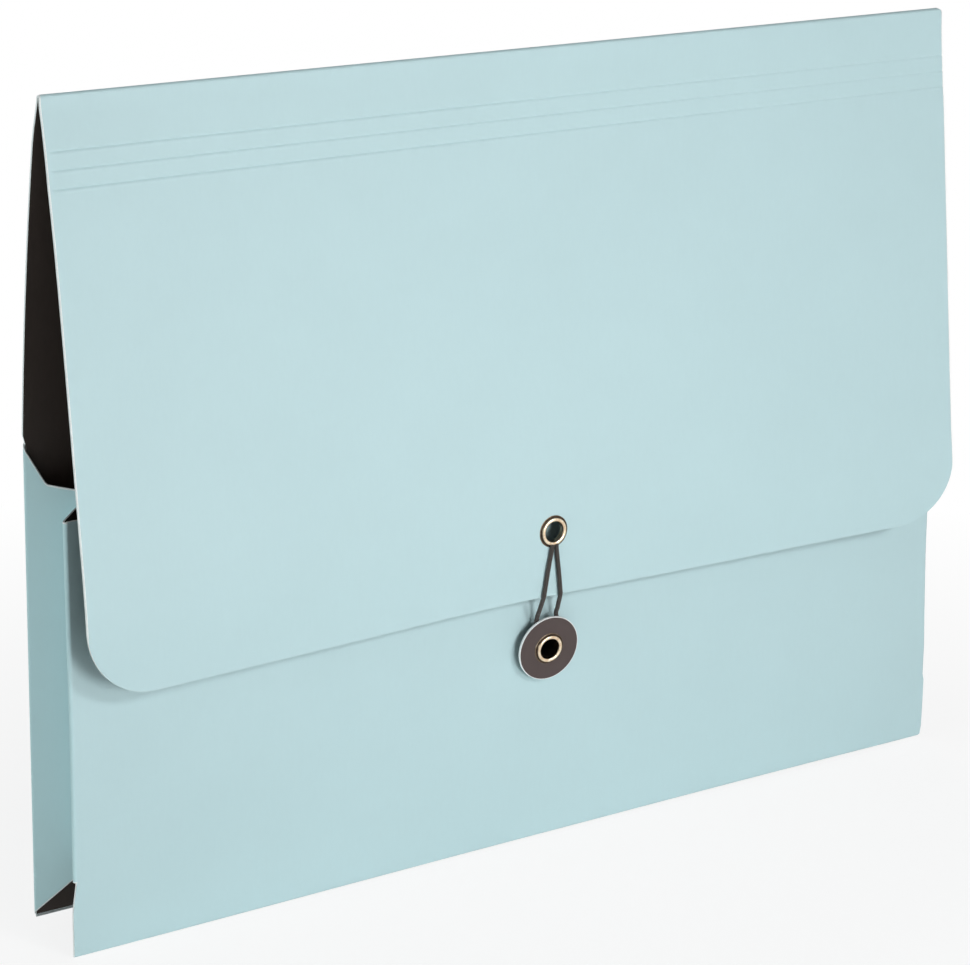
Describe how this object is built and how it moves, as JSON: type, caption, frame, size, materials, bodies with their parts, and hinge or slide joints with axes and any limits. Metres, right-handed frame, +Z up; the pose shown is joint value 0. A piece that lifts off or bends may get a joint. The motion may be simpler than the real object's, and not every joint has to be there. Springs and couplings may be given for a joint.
{
  "type": "expanding project folder",
  "caption": "Standing expanding card folder with a deep front flap, folded side and bottom gussets, and an elastic loop hooked round a card button.",
  "frame": {"origin": "bottom centre of the folder's box, on the surface that the folder stands on", "axes": "+Z up, +X along the folder's width, -Y towards the front with the flap and the button"},
  "size_m": [0.2984, 0.0378, 0.2325],
  "materials": {
    "card": "matt coated card, pale blue outside and dark brown inside, white core",
    "button_card": "matt dark brown card with a white core edge",
    "eyelet_metal": "bright, coppery",
    "elastic": "braided elastic cord"
  },
  "bodies": {
    "root": {"folded_card": "card", "left_gusset": "card", "right_gusset": "card", "flap_eyelet": "eyelet_metal", "button_disc": "button_card", "button_eyelet": "eyelet_metal", "elastic_loop": "elastic"}
  },
  "joints": []
}
